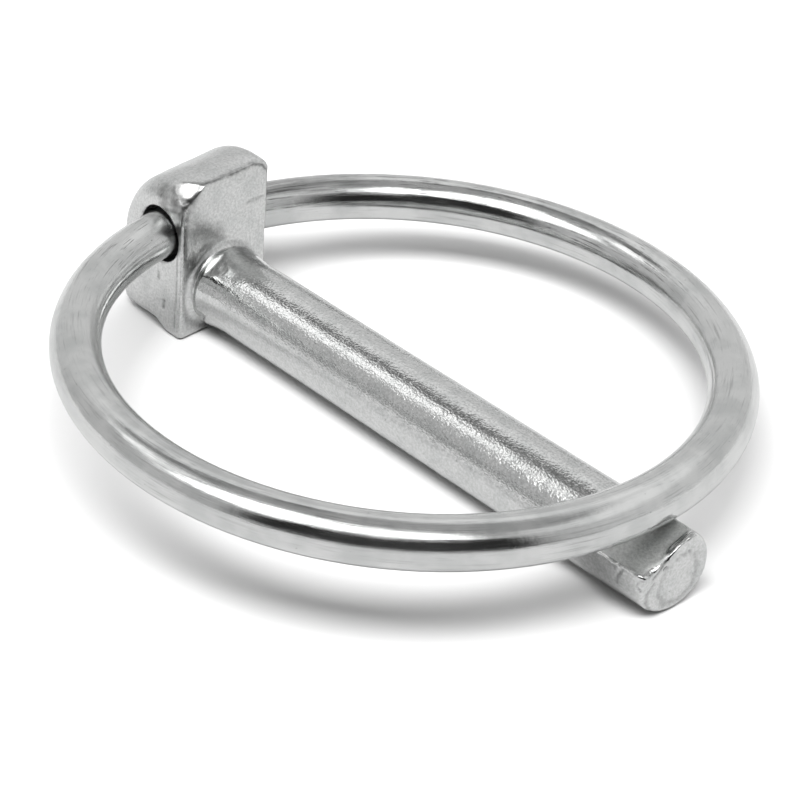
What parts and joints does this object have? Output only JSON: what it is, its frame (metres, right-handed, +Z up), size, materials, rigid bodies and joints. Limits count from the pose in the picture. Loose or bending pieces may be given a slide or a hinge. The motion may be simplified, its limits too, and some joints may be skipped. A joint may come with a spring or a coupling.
{
  "type": "wire lock pin",
  "caption": "Round steel pin with a square head and a hinged wire ring that snaps over the tip to lock it in its hole.",
  "frame": {"origin": "on the shaft's axis, in the plane of the shoulder where the shaft leaves the head", "axes": "+X along the shaft from the head to the tip, Y along the ring's hinge, +Z up, from the shaft towards the ring"},
  "size_m": [0.0529, 0.0484, 0.0133],
  "materials": {
    "forged_steel": "bright zinc plate, satin",
    "spring_wire": "bright zinc plate over drawn wire"
  },
  "bodies": {
    "pin": {"pin": "forged_steel"},
    "ring": {"ring": "spring_wire"}
  },
  "joints": [
    {"name": "ring_hinge", "type": "hinge", "parent": "pin", "child": "ring", "pos_m": [-0.00265, 0, 0.00417], "axis": [0, -1, 0], "range_deg": [0, 348]}
  ]
}
